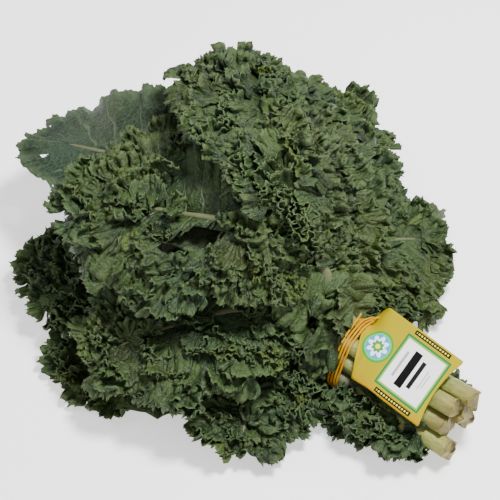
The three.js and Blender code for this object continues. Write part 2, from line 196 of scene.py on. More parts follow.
# Fans of blade stand in tiers from the margin in to the midrib. A tier is given by where its fans
# stand between the midrib (0) and the margin (1), and how far they curl up, in radians. The fans
# of the last tier lean over the midrib.
TIERS = [
    dict(stand=0.78, curl=(-0.9, 1.1)),
    dict(stand=0.66, curl=(-0.6, 1.3)),
    dict(stand=0.54, curl=(-0.4, 1.4)),
    dict(stand=0.42, curl=(-0.4, 1.4)),
    dict(stand=0.31, curl=(-0.3, 1.4)),
    dict(stand=0.20, curl=(-0.2, 1.4)),
    dict(stand=0.09, curl=(-0.1, 0.8), over=True),
]
# Fans that hang under the rim of the leaves whose edges stand free.
HUNG = ("leaf_05", "leaf_06", "leaf_08", "leaf_10", "leaf_11", "leaf_12")
HUNG_TIER = dict(stand=0.70, curl=(-1.9, -0.8))

# A fan: its width, and the least share of it and how much more that a fan may have. Shares of that
# are its depth and the width of its foot, and its two ends are less deep by the share it is rounded.
FAN_SIZE = 0.0235
FAN_LEAST = 0.75
FAN_MORE = 0.7
FAN_DEPTH = (0.6, 0.85)
FAN_ROUNDED = 0.35
FAN_FOOT = 0.35
FAN_PITCH = 0.0172
FAN_COLUMNS = 31
FAN_ROWS = 5
FAN_VEINS = 4
FAN_YAW = 0.45  # the spread of its turns from the way outwards, in radians
FAN_NEAR = 0.004  # how far round and outwards the slope of the blade is felt where it stands
PLACE_JITTER = 0.35  # how far it may stand from its even place in its tier, in pitches
STAND_JITTER = 0.06  # and outwards
TIER_SHARE = 0.98  # a tier ends just short of the blade's foot
TIER_MARKS = 60
MIDDLE_TONE = 0.5
LEAF_TONES = 0.1  # the most that a leaf's tone differs from the middle
FAN_TONES = 0.2  # and the spread of its fans' tones
FAN_LIFT = 0.001  # how far its foot stands off the blade
OVER_LIFT = 0.005  # and where it leans over the midrib
SEEN_FROM = 6  # the least number of open directions, out of 24, over a fan that is made
SEEN_STEEPS = (90, 50, 22, 8)  # how steeply those directions rise, in degrees
SEEN_ABOVE = 0.006  # how far over the blade they start
TOP_ROOM = 0.007  # how far the frills of the topmost leaves may stand over the plain solids

# The waves of a fan's frill, from the broadest to the finest: how many run along its margin, how
# high they are at the margin, what is added to that on the curliest fan, and how they overhang.
BROAD_WAVES = (0.5, 1.2)
BROAD_HEIGHT = 0.0034
LOBE_WAVES = (2.3, 3.6)
LOBE_HEIGHT = 0.0010
LOBE_CURLY = 0.0018
LOBE_SWAY = 0.0009
LOBE_DEPTH = 0.0052  # how deeply the margin is cut between its lobes
PUCKERS = 5
PUCKER_STEEP = 26  # the most radians of a pucker's wave along a fan
PUCKER_ACROSS = 11  # and from its foot to its margin
PUCKER_HEIGHT = 0.0005
CRIMP_WAVES = (6.5, 8.5)
CRIMP_HEIGHT = 0.0009
CRIMP_CURLY = 0.0014
CRIMP_SWAY = 0.0003
FAN_TEETH = (0.0013, 0.0008)  # how far teeth stand out, and the margin lies back between them
CRUMPLE = 0.0003

# The fans of a leaflet: where they stand, how far they curl, and whether they lean over the stalk.
LEAFLET_TIERS = [
    (0.04, (-0.2, 0.5), True),
    (0.10, (0.2, 1.3), False),
    (0.40, (-0.2, 1.2), False),
    (0.70, (-0.5, 0.9), False),
]
LEAFLET_END = 0.082  # how far from the tie a leaflet reaches
LEAFLET_PITCH = 0.0123
LEAFLET_YAW = 0.4
LEAFLET_JITTER = 0.3
LEAFLET_TONES = (0.2, 0.7)
LEAFLET_LIFT = 0.004  # how high the fans that lean over the stalk stand
LEAFLET_CLEAR = 0.005  # this near to the tie its inner fans are left out
LEAFLET_INNER = 0.3  # inner fans stand nearer to the stalk than this
LEAFLET_ARCH = (0.1, 0.84)  # the part of an arch that its outline is: from where, and how much
LEAFLET_ROOT = 0.003  # from the stalk's middle to the root of its leaflet

# The broad lobes that are laid over a stalk, between the tie and its blade.
COLLARED = ("leaf_07", "leaf_08", "leaf_10", "leaf_11", "leaf_12")
COLLAR_FROM = 0.012  # they begin this far from the tie
COLLAR_PAST = 0.040  # and end this far past where the blade begins
COLLAR_PITCH = 0.0135
COLLAR_WIDTH = 0.014
COLLAR_ROOT = 0.002
COLLAR_STANDS = (0.3, 0.5)  # where they stand by turns; those at the second lean over the stalk
COLLAR_CURL = (-0.4, 0.5)
COLLAR_YAW = 0.4
COLLAR_JITTER = 0.2
COLLAR_TONES = (0.3, 0.75)
COLLAR_LIFT = 0.003
LOBE_SIZE = 0.033

# ------------------------------------------------------------------ sizes of the card

# The card in plan, row by row away from the tie: how far along it is, and its two edges' places.
CARD_OUTLINE = [
    (-0.009, 0.005, 0.024),
    (0.003, 0.002, 0.030),
    (0.009, -0.012, 0.030),
    (0.017, -0.031, 0.029),
    (0.034, -0.033, 0.027),
    (0.051, -0.035, 0.025),
    (0.068, -0.037, 0.023),
    (0.085, -0.039, 0.021),
]
CARD_LENGTH = CARD_OUTLINE[-1][0] - CARD_OUTLINE[0][0]
CARD_MIDDLE = 0.001  # the middle line of its print passes this far aside of the tie's middle
CARD_TURN = -0.1176  # and slants by this much
CARD_FLAT_FROM = 0.036
CARD_HOLLOW = 0.005
CARD_CORNER = 0.001
CARD_INSET = 0.0006
CARD_THICK = 0.0008
CARD_GRID = (70, 40)
CARD_EVENED = 12  # rounds of evening that take the plain card's facets out

# The print on the card. Lengths run from the end at the tie, and aside of the card's middle.
PANEL_MIDDLE = (0.0655, 0.0)
PANEL_HALF = (0.0185, 0.0195)
PANEL_RIMS = [(0.0030, (0.015, 0.16, 0.045)), (0.0014, (0.20, 0.42, 0.045)), (0.0, (0.90, 0.90, 0.88))]
PANEL_BARS = [  # place, half width, thickness and ink of each bar
    (0.0530, 0.0110, 0.0022, (0.35, 0.35, 0.35)),
    (0.0610, 0.0150, 0.0068, (0.003, 0.003, 0.003)),
    (0.0690, 0.0115, 0.0036, (0.008, 0.008, 0.008)),
    (0.0755, 0.0080, 0.0010, (0.45, 0.45, 0.45)),
    (0.0780, 0.0060, 0.0010, (0.45, 0.45, 0.45)),
]
STRIP_ASIDE = 0.0262
STRIP_HALF = (0.0175, 0.0018)
STRIP_INK = (0.003, 0.010, 0.004)
DOTS_HALF = (0.016, 0.0006)
DOT_PITCH = 0.0026
DOT_INK = (0.90, 0.72, 0.10)
ROSETTE_MIDDLE = (0.0300, 0.0)
ROSETTE_PETALS = 8
ROSETTE_RINGS = [  # radius, ink, and how deeply the ring is lobed
    (0.0128, (0.035, 0.30, 0.035), 0.0),
    (0.0110, (0.20, 0.48, 0.06), 0.0),
    (0.0100, (0.02, 0.30, 0.62), 0.0),
    (0.0092, (0.75, 0.85, 0.90), 0.45),
    (0.0052, (0.05, 0.26, 0.05), 0.30),
    (0.0020, (0.90, 0.66, 0.05), 0.0),
]
PRINT_EDGE = 0.0002

# ------------------------------------------------------------------ sizes of the studio

FLOOR_HALF = 8
# The camera looks down on the bunch from beside its cut ends: its place round from -Y and up, in
# degrees, its distance, and where it aims, aside of and over the tie as it sees them.
CAMERA_ROUND = 38
CAMERA_UP = 50
CAMERA_AWAY = 1.5
CAMERA_LENS = 137.7
AIM_ASIDE = -0.0824
AIM_OVER = 0.083
LIGHTS = [  # name, place, size and power
    ("key", (0.28, 0.17, 1.25), 0.26, 33),
    ("left fill", (-0.95, -0.7, 0.85), 0.6, 7),
    ("right fill", (0.9, -0.9, 0.8), 0.8, 5),
    ("back", (0.1, 1.1, 0.7), 0.8, 5),
]
WORLD_STRENGTH = 0.28
FLOOR_GLOW = 0.8

# ------------------------------------------------------------------ curves and random lines


def smoothstep(share):
    share = np.clip(share, 0, 1)
    return share * share * (3 - 2 * share)


def between(low, high, value):
    """From 0 at the low value to 1 at the high one, eased at both."""
    return smoothstep((value - low) / (high - low))


def ripple(random, place, knots, low=-1.0, high=1.0):
    """A smooth random line over places from 0 to 1, with that many knots."""
    values = random.uniform(low, high, knots + 1)
    spot = np.clip(place, 0, 1) * knots
    whole = np.minimum(spot.astype(int), knots - 1)
    share = smoothstep(spot - whole)
    return values[whole] * (1 - share) + values[whole + 1] * share


def unit(vectors):
    return vectors / np.maximum(np.linalg.norm(vectors, axis=-1, keepdims=True), 1e-9)


# ------------------------------------------------------------------ where a leaf lies


def heading(leaf, along):
    """The way a midrib runs, turned from -X, at distances from the tie."""
    past = np.maximum(along - STRAIGHT, 0)
    early = TURN_EARLY * smoothstep(past / TURN_SOON)
    return math.radians(leaf["turn"]) * (early + TURN_LATE * past / leaf["reach"])


def plan_point(leaf, along, aside):
    """X and Y of a point that is along the midrib from the tie and aside of it."""
    step = 0.001
    marks = np.arange(0, leaf["reach"] + 2 * step, step)
    turns = heading(leaf, marks[1:] - step / 2)
    line_x = np.concatenate([[0], np.cumsum(-np.cos(turns)) * step])
    line_y = np.concatenate([[0], np.cumsum(np.sin(turns)) * step]) + leaf["seat"]
    turn = heading(leaf, along)
    x = np.interp(along, marks, line_x) + aside * np.sin(turn)
    y = np.interp(along, marks, line_y) + aside * np.cos(turn)
    return x + TIE_AT.x, y + TIE_AT.y


def margin(leaf, q):
    """How far along and aside the blade's margin lies, from the tip at 0 to the foot at 1."""
    angle = math.pi * q + MARGIN_EVENED * np.sin(WHOLE_TURN * q)
    half = (leaf["reach"] - leaf["start"]) / 2
    drawn_in = np.maximum(np.sin(angle), 0) ** (1 + MARGIN_DRAWN_IN * q)
    swell = drawn_in * (1 + MARGIN_FILLED_OUT * np.cos(angle))
    foot = BLADE_FOOT * between(0.5, 1, q)
    return leaf["start"] + half * (1 + np.cos(angle)), leaf["width"] * np.maximum(swell, foot)


def spine(leaf, q):
    """How far along the midrib the side vein leaves it that runs to the margin at q."""
    length = leaf["reach"] - leaf["start"]
    return leaf["start"] + SPINE_SHARE * length * (1 - q) ** VEIN_SLANT


def blade_plan(leaf, t, v):
    """Plan of a blade: t runs from one foot (-1) round the tip (0) to the other, v outwards."""
    q = np.minimum(np.abs(t), 1)
    along, aside = margin(leaf, q)
    root = spine(leaf, q)
    return plan_point(leaf, root + (along - root) * v, np.sign(t) * aside * v)


def rib_radius(leaf, along):
    share = np.clip(along / leaf["reach"], 0, 1) ** RIB_TAPER
    return STALK_R_TIE + (STALK_R_TIP - STALK_R_TIE) * share


def felt_heights(tree, x, y, guess):
    """How high a plain solid's top lies at each place, or its nearest point beside it."""
    heights = []
    for spot in zip(np.ravel(x), np.ravel(y)):
        hit = tree.ray_cast(Vector((*spot, 1)), Vector((0, 0, -1)))[0]
        if hit is None:
            hit = tree.find_nearest(Vector((*spot, heights[-1] if heights else guess)))[0]
        heights.append(hit.z)
    return np.array(heights)


def felt_tree(node):
    """A node's plain solid, made ready to be felt."""
    return BVHTree.FromObject(node, bpy.context.evaluated_depsgraph_get())


class Lie:
    """How high a leaf lies, felt from above on the plain solid that it stands for.

    The midrib is felt at marks along it, and the blade at marks round it, at some shares of the way
    out from the midrib. Both are evened over the marks beside them, and a cubic joins the shares.
    """

    RIB_MARKS = 60
    RIB_SHARE = 0.9  # how much of the leaf's length the marks along the midrib cover
    RIB_EVENED = 3
    BLADE_MARKS = 193
    BLADE_EVENED = 8
    BLADE_OVER = 0.6  # how far over the midrib's middle the blade leaves it, in radii
    REACHES = np.array([0.3, 0.55, 0.8, 0.96])
    GUESS = 0.03  # the height to feel from, where the first mark lies beside the solid

    def __init__(self, leaf, node):
        self.tree = felt_tree(node)
        self.leaf = leaf
        self.marks = np.linspace(0, leaf["reach"] * self.RIB_SHARE, self.RIB_MARKS)
        middles = self.tops(*plan_point(leaf, self.marks, 0))
        self.middles = self.even(middles, self.RIB_EVENED) - RIB_UNDER * rib_radius(leaf, self.marks)
        self.turns = np.linspace(-1, 1, self.BLADE_MARKS)
        root = spine(leaf, np.abs(self.turns))
        rows = [self.rib(root) + self.BLADE_OVER * rib_radius(leaf, root)]
        for v in self.REACHES:
            felt = self.tops(*blade_plan(leaf, self.turns, v))
            rows.append(self.even(felt, self.BLADE_EVENED))
        powers = np.stack([np.insert(self.REACHES, 0, 0) ** k for k in range(4)], 1)
        self.terms = np.linalg.pinv(powers) @ np.array(rows)

    def tops(self, x, y):
        return felt_heights(self.tree, x, y, self.GUESS)

    @staticmethod
    def even(heights, reach):
        """Heights with the short waves taken out."""
        count = 2 * reach + 1
        return np.convolve(np.pad(heights, reach, "edge"), np.ones(count) / count, "valid")

    def rib(self, along):
        return np.interp(along, self.marks, self.middles)

    def place(self, t, v):
        """The point of the evened blade at t and v."""
        height = sum(np.interp(t, self.turns, term) * v**k for k, term in enumerate(self.terms))
        return np.stack([*blade_plan(self.leaf, t, v), height], -1)

    def spot(self, t, v):
        """The one point of it at a single t and v."""
        return self.place(np.array(t), np.array(v))


# ------------------------------------------------------------------ frilled sheets


def surface_frame(points):
    """The directions along the margin, outwards and up at each point of a sheet."""
    along = unit(np.gradient(points, axis=1))
    out = unit(np.gradient(points, axis=0))
    return along, out, unit(np.cross(along, out))


def curl_up(points, angle):
    """Bends a sheet up about the line of its margin, by an angle at each point."""
    along = surface_frame(points)[0]
    steps = np.diff(points, axis=0)
    length = np.linalg.norm(steps, axis=-1, keepdims=True)
    ahead = unit(steps)
    over = unit(np.cross(along[1:], ahead))
    turn = ((angle[1:] + angle[:-1]) / 2)[..., None]
    bent = (ahead * np.cos(turn) + over * np.sin(turn)) * length
    return np.concatenate([points[:1], points[:1] + np.cumsum(bent, axis=0)])


def fold(points, phase, height, sway):
    """Waves a sheet along its own normal, and sways its folds so that they overhang."""
    along, _, up = surface_frame(points)
    wave = (height * np.cos(phase))[..., None]
    shift = (sway * np.sin(2 * phase))[..., None]
    return points + up * wave + along * shift


def loose_phase(around, waves, random):
    """The phase of waves along a margin, whose count is drawn from a range."""
    return WHOLE_TURN * (random.uniform(*waves) * around + random.uniform(0, 1))


def rounded_lobe(phase):
    """The outline of lobes with narrow cuts between them, about its middle."""
    return np.abs(np.cos(phase)) ** 0.6 - 0.6


def teeth(count, sizes, shares, random):
    """How far each point of a margin stands out as a tooth, or lies back between two."""
    out, back = sizes
    return np.where(np.arange(count) % 2, out, -back) * random.uniform(*shares, count)


def fold_broadly(points, around, v, random):
    phase = loose_phase(around, BROAD_WAVES, random) + 0.8 * ripple(random, around, 2)
    return fold(points, phase, BROAD_HEIGHT * between(0, 0.8, v), 0)


def fold_lobes(points, around, v, curly, random):
    """Folds a fan between its lobes, and says how far out each point of the margin stands."""
    phase = loose_phase(around, LOBE_WAVES, random)
    phase = phase + 1.2 * ripple(random, around, 4)
    rise = (LOBE_HEIGHT + LOBE_CURLY * curly) * ripple(random, around, 5, 0.5, 1.4)
    height = rise * between(0.1, 0.85, v)
    points = fold(points, phase + 0.8 * v, height, LOBE_SWAY * curly * v**3)
    return points, LOBE_DEPTH * rounded_lobe(phase / 2) * between(0.2, 1, v)


def pucker(points, around, v, random):
    """Raises small folds that run every way over a fan."""
    for _ in range(PUCKERS):
        steep = random.uniform(-PUCKER_STEEP, PUCKER_STEEP)
        across = random.uniform(-PUCKER_ACROSS, PUCKER_ACROSS)
        phase = steep * around + across * v + random.uniform(0, WHOLE_TURN)
        points = fold(points, phase, PUCKER_HEIGHT, 0)
    return points


def crimp(points, around, v, curly, random):
    """Folds a fan finely and steeply towards its margin."""
    waves = WHOLE_TURN * random.uniform(*CRIMP_WAVES)
    phase = waves * around + 1.8 * ripple(random, around, 9) + 2 * v
    rise = (CRIMP_HEIGHT + CRIMP_CURLY * curly) * ripple(random, around, 9, 0.3, 1.4)
    return fold(points, phase, rise * between(0.4, 1, v), CRIMP_SWAY * v**4)


def frill(points, u, v, random):
    """Folds a fan in ever finer waves, puckers it, and cuts its margin into lobes and teeth."""
    around = (u + 1) / 2
    curly = random.uniform(0, 1)
    points = fold_broadly(points, around, v, random)
    points, lobe = fold_lobes(points, around, v, curly, random)
    points = pucker(points, around, v, random)
    points = crimp(points, around, v, curly, random)
    tooth = teeth(points.shape[1], FAN_TEETH, (0.1, 1.3), random) * between(0.75, 1.0, v)
    crumple = random.uniform(-CRUMPLE, CRUMPLE, points.shape) * between(0.1, 0.6, v)[..., None]
    return points + surface_frame(points)[1] * (lobe + tooth)[..., None] + crumple


def keep_between(points):
    """Keeps a sheet off the surface below, and eases its highest frills down to the top's room."""
    over = np.maximum(points[..., 2] - cad_box[1].z, 0)
    points[..., 2] += TOP_ROOM * (1 - np.exp(-over / TOP_ROOM)) - over
    points[..., 2] = np.maximum(points[..., 2], TABLE)
    return points


def fan_points(spot, along, out, size, curl, random):
    """A fan of blade: it stands on a narrow foot and widens to a frilled margin."""
    u, s = np.meshgrid(np.linspace(-1, 1, FAN_COLUMNS + 1), np.linspace(0, 1, FAN_ROWS + 1))
    s = s**0.85
    size = size * (FAN_LEAST + FAN_MORE * random.uniform() ** 2)
    wide = size / 2 * (FAN_FOOT + (1 - FAN_FOOT) * smoothstep(s / 0.75))
    deep = size * random.uniform(*FAN_DEPTH) * s * (1 - FAN_ROUNDED * u**2)
    points = spot + along * (u * wide)[..., None] + out * deep[..., None]
    bend = random.uniform(*curl) + 0.3 * ripple(random, (u + 1) / 2, 2)
    points = curl_up(points, bend * between(0.0, 0.9, s))
    return keep_between(frill(points, u, s, random))


def stand_fan(place, t, v, yaw, curl, random, size=FAN_SIZE, lift=FAN_LIFT):
    """A fan on a blade, turned by yaw from the way outwards to the margin, lifted off its face."""
    spot, beside, beyond = (
        place(np.array(t + aside), np.array(v + ahead))
        for aside, ahead in ((0, 0), (FAN_NEAR, 0), (0, FAN_NEAR))
    )
    along, out = unit(beside - spot), unit(beyond - spot)
    up = unit(np.cross(along, out))
    along = unit(np.cross(out, up))
    turned = along * math.cos(yaw) + out * math.sin(yaw)
    return fan_points(spot + lift * up, turned, np.cross(up, turned), size, curl, random)


def lay_grid(shape, points, layer, places):
    """Adds a grid laid on the points, with the place of each on its map, and gives its vertices."""
    rows, columns = points.shape[0] - 1, points.shape[1] - 1
    made = bmesh.ops.create_grid(shape, x_segments=columns, y_segments=rows, size=1)
    for vert in made["verts"]:
        i = round((vert.co.x + 1) / 2 * columns)
        j = round((vert.co.y + 1) / 2 * rows)
        vert.co = points[j, i]
        for loop in vert.link_loops:
            loop[layer].uv = places[j, i]
    return made["verts"]


def add_sheet(shape, points, veins, tone):
    """Adds a sheet laid on the points, with its count of veins and its tone."""
    columns, rows = points.shape[1] - 1, points.shape[0] - 1
    i, j = np.meshgrid(np.arange(columns + 1), np.arange(rows + 1))
    places = np.stack([i / columns * veins, j / rows], -1)
    verts = lay_grid(shape, points, shape.loops.layers.uv["sheet"], places)
    tones = shape.verts.layers.float["tone"]
    for vert in verts:
        vert[tones] = tone
    return verts


def start_sheets():
    """An empty mesh whose sheets each carry their own map and tone."""
    shape = bmesh.new()
    shape.loops.layers.uv.new("sheet")
    shape.verts.layers.float.new("tone")
    return shape


def new_piece(name, shape, materials):
    mesh = bpy.data.meshes.new(name)
    shape.to_mesh(mesh)
    shape.free()
    for material in materials:
        mesh.materials.append(material)
    piece = bpy.data.objects.new(name, mesh)
    bpy.context.scene.collection.objects.link(piece)
    mesh.shade_smooth()
    return piece


def give_thickness(piece, thick, offset=0):
    wall = piece.modifiers.new("thickness", "SOLIDIFY")
    wall.thickness = thick
    wall.offset = offset
    return wall


def fit(piece, node):
    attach(piece, "root")
    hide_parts(node)


# ------------------------------------------------------------------ a leaf's foliage


def fold_blade(points, folds, t, v, ends, random):
    for count, knots, height, rise, sway in folds:
        phase = WHOLE_TURN * count * t + 2 * ripple(random, (t + 1) / 2, knots)
        points = fold(points, phase, height * ends * between(*rise, v), sway)
    return points


def cut_plain_margin(points, t, v, ends, random):
    """Cuts the margin of a blade that has no fans into lobes and teeth."""
    phase = WHOLE_TURN * PLAIN_LOBES * t + 3 * ripple(random, (t + 1) / 2, 40)
    lobe = PLAIN_LOBE_DEPTH * rounded_lobe(phase)
    tooth = teeth(t.shape[1], PLAIN_TEETH, (0.2, 1.2), random) * between(0.93, 1.0, v)
    out = surface_frame(points)[1]
    return points + out * (ends * lobe * between(0.8, 1.0, v) + tooth)[..., None]


def blade_points(leaf, lie, random):
    """The inner blade, or the whole blade of a leaf that has no fans."""
    plain, bare = leaf.get("plain", False), "bare" in leaf
    columns, rows = PLAIN_GRID if plain else BARE_GRID if bare else HIDDEN_GRID
    t, s = np.meshgrid(np.linspace(-1, 1, columns + 1), np.linspace(0, 1, rows + 1))
    ends = between(0, 0.1, 1 - np.abs(t))
    if plain:
        v = s**0.7 * (1 - PLAIN_NARROWED * between(-0.04, -0.22, t))
        points = fold_blade(lie.place(t, v), PLAIN_FOLDS, t, v, ends, random)
        points = cut_plain_margin(points, t, v, ends, random)
    else:
        v = s**0.7 * (INNER_SHARE * leaf.get("trim", 1))
        folds = BARE_FOLDS if bare else INNER_FOLDS
        points = fold_blade(lie.place(t, v), folds, t, v, ends, random)
    points[..., 2] = np.maximum(points[..., 2], TABLE)
    return points


def eat_hole(shape, middle, radius):
    """Takes away the faces of a blade that lie within a ragged round."""
    eaten = []
    for face in shape.faces:
        edge = radius * (1 + HOLE_RAGGED * math.sin(HOLE_BEAT * face.index))
        if (face.calc_center_median() - middle).length < edge:
            eaten.append(face)
    bmesh.ops.delete(shape, geom=eaten, context="FACES")


def add_blade(shape, leaf, lie, random):
    """The blade, with the seam along its midrib closed and what has been eaten taken away."""
    verts = add_sheet(shape, blade_points(leaf, lie, random), BLADE_VEINS, BLADE_TONE)
    seam = [vert for vert in verts if vert.is_boundary]
    bmesh.ops.remove_doubles(shape, verts=seam, dist=SEAM)
    for t, v, radius in leaf.get("holes", ()):
        eat_hole(shape, Vector(lie.spot(t, v)), radius)


def openness(spot, others):
    """How many of the directions upwards and sideways aren't shut off by the other leaves."""
    start = Vector(spot) + Vector((0, 0, SEEN_ABOVE))
    free = 0
    for steep in SEEN_STEEPS:
        for side in range(0, 360, 60):
            flat = math.cos(math.radians(steep))
            ray = Vector((
                flat * math.cos(math.radians(side)),
                flat * math.sin(math.radians(side)),
                math.sin(math.radians(steep)),
            ))
            free += all(tree.ray_cast(start, ray)[0] is None for tree in others)
    return free


def wants_fan(spot, bare, others):
    """Whether a fan at a spot would show, and isn't on a part of the blade that is left bare."""
    if any(np.linalg.norm(spot - middle) < radius for middle, radius in bare):
        return False
    return openness(spot, others) >= SEEN_FROM


def add_frill(shape, leaf, lie, tiers, others, random):
    """Stands fans all over a blade, in tiers from its margin to its midrib."""
    leaf_tone = MIDDLE_TONE + random.uniform(-LEAF_TONES, LEAF_TONES)
    bare = [(lie.spot(t, v), radius) for t, v, radius in leaf.get("bare", ())]
    for tier in tiers:
        stand = tier["stand"] * leaf.get("trim", 1)
        back, lift = (math.pi, OVER_LIFT) if tier.get("over") else (0, FAN_LIFT)
        for side in (-1, 1):
            ring = lie.place(np.linspace(0, side, TIER_MARKS), np.full(TIER_MARKS, stand))
            length = np.linalg.norm(np.diff(ring, axis=0), axis=1).sum()
            count = round(length / FAN_PITCH)
            for k in range(count):
                place = k + 0.5 + random.uniform(-PLACE_JITTER, PLACE_JITTER)
                t = side * place / count * TIER_SHARE
                v = stand + random.uniform(-STAND_JITTER, STAND_JITTER)
                tone = leaf_tone + random.normal(0, FAN_TONES)
                if not wants_fan(lie.spot(t, v), bare, others):
                    continue
                yaw = random.normal(0, FAN_YAW) + back
                fan = stand_fan(lie.place, t, v, yaw, tier["curl"], random, lift=lift)
                add_sheet(shape, fan, FAN_VEINS, tone)


def add_leaflet(shape, leaf, lie, random):
    """Stands fans on the strip of blade beside a cut stalk."""
    side, width, end, begin = leaf["leaflet"]
    length = LEAFLET_END - begin

    def place(t, v):
        share = np.clip(t if side > 0 else 1 - t, 0, 1)
        arch = LEAFLET_ARCH[0] + LEAFLET_ARCH[1] * share
        reach = width * np.sin(math.pi * arch) ** 0.7
        x, y, z = stalk_ring(leaf, lie, begin + length * share)
        z = (z + STALK_R_TIE) * (1 - v) + end * v
        return np.stack([x, y + side * (LEAFLET_ROOT + reach * v), z], -1)

    count = round(length / LEAFLET_PITCH)
    for stand, curl, over in LEAFLET_TIERS:
        back, lift = (math.pi, LEAFLET_LIFT) if over else (0, FAN_LIFT)
        for k in range(count):
            t = (k + 0.5 + random.uniform(-LEAFLET_JITTER, LEAFLET_JITTER)) / count
            along = begin + length * (t if side > 0 else 1 - t)
            if abs(along) < LEAFLET_CLEAR and stand < LEAFLET_INNER:
                continue
            yaw = random.normal(0, LEAFLET_YAW) + back
            fan = stand_fan(place, t, stand, yaw, curl, random, lift=lift)
            add_sheet(shape, fan, FAN_VEINS, random.uniform(*LEAFLET_TONES))


def add_collar(shape, leaf, lie, random):
    """Lays broad lobes over a stalk, from the tie to where its blade begins."""
    length = leaf["start"] + COLLAR_PAST - COLLAR_FROM
    count = round(length / COLLAR_PITCH)
    for side in (-1, 1):
        def place(t, v):
            along = COLLAR_FROM + length * (1 - t if side > 0 else t)
            x, y = plan_point(leaf, along, side * (COLLAR_ROOT + COLLAR_WIDTH * v))
            z = lie.rib(along) + rib_radius(leaf, along) * (1 - v)
            return np.stack([x, y, z], -1)

        for k in range(count):
            t = (k + 0.5 + random.uniform(-COLLAR_JITTER, COLLAR_JITTER)) / count
            stand = COLLAR_STANDS[k % 2]
            yaw = math.pi * (k % 2) + random.normal(0, COLLAR_YAW)
            lobe = stand_fan(place, t, stand, yaw, COLLAR_CURL, random, LOBE_SIZE, COLLAR_LIFT)
            add_sheet(shape, lobe, FAN_VEINS, random.uniform(*COLLAR_TONES))


def make_foliage(name, leaf, lie, others, random, materials):
    """A leaf's blade with its fans, and those beside and over its stalk, given their thickness."""
    shape = start_sheets()
    add_blade(shape, leaf, lie, random)
    if not leaf.get("plain"):
        tiers = TIERS + [HUNG_TIER] if leaf["node"] in HUNG else TIERS
        add_frill(shape, leaf, lie, tiers, others, random)
        if leaf["node"] in COLLARED:
            add_collar(shape, leaf, lie, random)
    if "leaflet" in leaf:
        add_leaflet(shape, leaf, lie, random)
    piece = new_piece(name, shape, materials)
    wall = give_thickness(piece, BLADE_THICK)
    wall.material_offset = 1  # the second material is the sheets' underside
    # the rim takes the lighter edge material, a painted highlight along the margins
    wall.material_offset_rim = 2  # and the third their rim
    return piece


# ------------------------------------------------------------------ a leaf's stalk


def towards_cut(cut):
    """How far the bundle has opened, and how thick a stalk is, at a distance past the tie."""
    opened = 1 + STALK_SPREAD * cut / STALK_LONGEST
    return opened, STALK_R_TIE + (STALK_R_CUT - STALK_R_TIE) * cut / STALK_LONGEST


def stalk_ring(leaf, lie, cut):
    """Middle of a cut stalk at a distance from the tie."""
    opened, radius = towards_cut(cut)
    x, y = TIE_AT.x + cut, TIE_AT.y + leaf["seat"] * opened
    return x, y, lie.tops(x, y).reshape(np.shape(cut)) - CUT_UNDER * radius


def stalk_path(leaf, lie, along):
    """Middle and radius of a stalk at distances from the tie, negative towards the cut end."""
    past = np.maximum(along, 0)
    cut = np.maximum(-along, 0)
    opened, radius = towards_cut(cut)
    x, y = plan_point(leaf, past, 0)
    x = x + cut
    y = TIE_AT.y + (y - TIE_AT.y) * opened
    radius = np.where(along < 0, radius, rib_radius(leaf, past))
    under = np.where(along < 0, CUT_UNDER, RIB_UNDER)
    z = lie.tops(np.minimum(x, x[0] - CUT_SHORT), y) - under * radius
    return np.stack([x, y, np.maximum(z, radius + TABLE)], -1), radius


def upright_tube():
    """A closed tube of even rings, with its map round it and along it."""
    shape = bmesh.new()
    bmesh.ops.create_cone(shape, cap_ends=True, segments=STALK_SIDES, radius1=1, radius2=1, depth=1)
    upright = [e for e in shape.edges if abs(e.verts[0].co.z - e.verts[1].co.z) > 0.5]
    bmesh.ops.subdivide_edges(shape, edges=upright, cuts=STALK_RINGS - 1, use_grid_fill=True)
    layer = shape.loops.layers.uv.new("stalk")
    for face in shape.faces:
        for loop in face.loops:
            co = loop.vert.co
            loop[layer].uv = (math.atan2(co.y, co.x) / WHOLE_TURN, co.z + 0.5)
    return shape


def lay_tube(shape, middle, radius, turn, slope):
    """Lays a tube along a stalk's middle line, ridged, and cut aslant at its first ring."""
    ahead = unit(np.gradient(middle, axis=0))
    aside = unit(np.cross(np.array([0, 0, 1.0]), ahead))
    up = np.cross(ahead, aside)
    (broad, broad_rise), (fine, fine_rise) = RIDGES
    for vert in shape.verts:
        k = round((vert.co.z + 0.5) * STALK_RINGS)
        angle = math.atan2(vert.co.y, vert.co.x)
        ridges = 1 + broad_rise * math.cos(broad * angle + turn) + fine_rise * math.cos(fine * angle)
        r = radius[k] * ridges
        place = middle[k] + aside[k] * math.cos(angle) * r + up[k] * math.sin(angle) * r
        if k == 0:
            tilt = slope[0] * math.cos(angle) + slope[1] * math.sin(angle)
            place = place + ahead[k] * abs(tilt) * radius[k]
        vert.co = place


def sink_ends(shape):
    """Gives both ends of a tube the cut's colour, a little sunk inside a rim."""
    caps = [face for face in shape.faces if len(face.verts) > 4]
    for face in caps:
        face.material_index = 1
    bmesh.ops.inset_region(shape, faces=caps, thickness=CUT_RIM, depth=-CUT_SUNK)
    bmesh.ops.recalc_face_normals(shape, faces=shape.faces)


def make_stalk(name, leaf, lie, random, materials):
    """A stalk from its cut end through the tie, and on as the leaf's midrib."""
    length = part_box(leaf["node"])[1].x - TIE_AT.x
    veined = SPINE_SHARE + STALK_PAST_VEINS
    last = leaf["start"] + (leaf["reach"] - leaf["start"]) * veined
    middle, radius = stalk_path(leaf, lie, np.linspace(-length, last, STALK_RINGS + 1))
    for _ in range(STALK_EVENED):
        middle[1:-1] = (middle[:-2] + 2 * middle[1:-1] + middle[2:]) / 4
    shape = upright_tube()
    lay_tube(shape, middle, radius, leaf["turn"], random.uniform(-CUT_SLOPE, CUT_SLOPE, 2))
    sink_ends(shape)
    return new_piece(name, shape, materials)


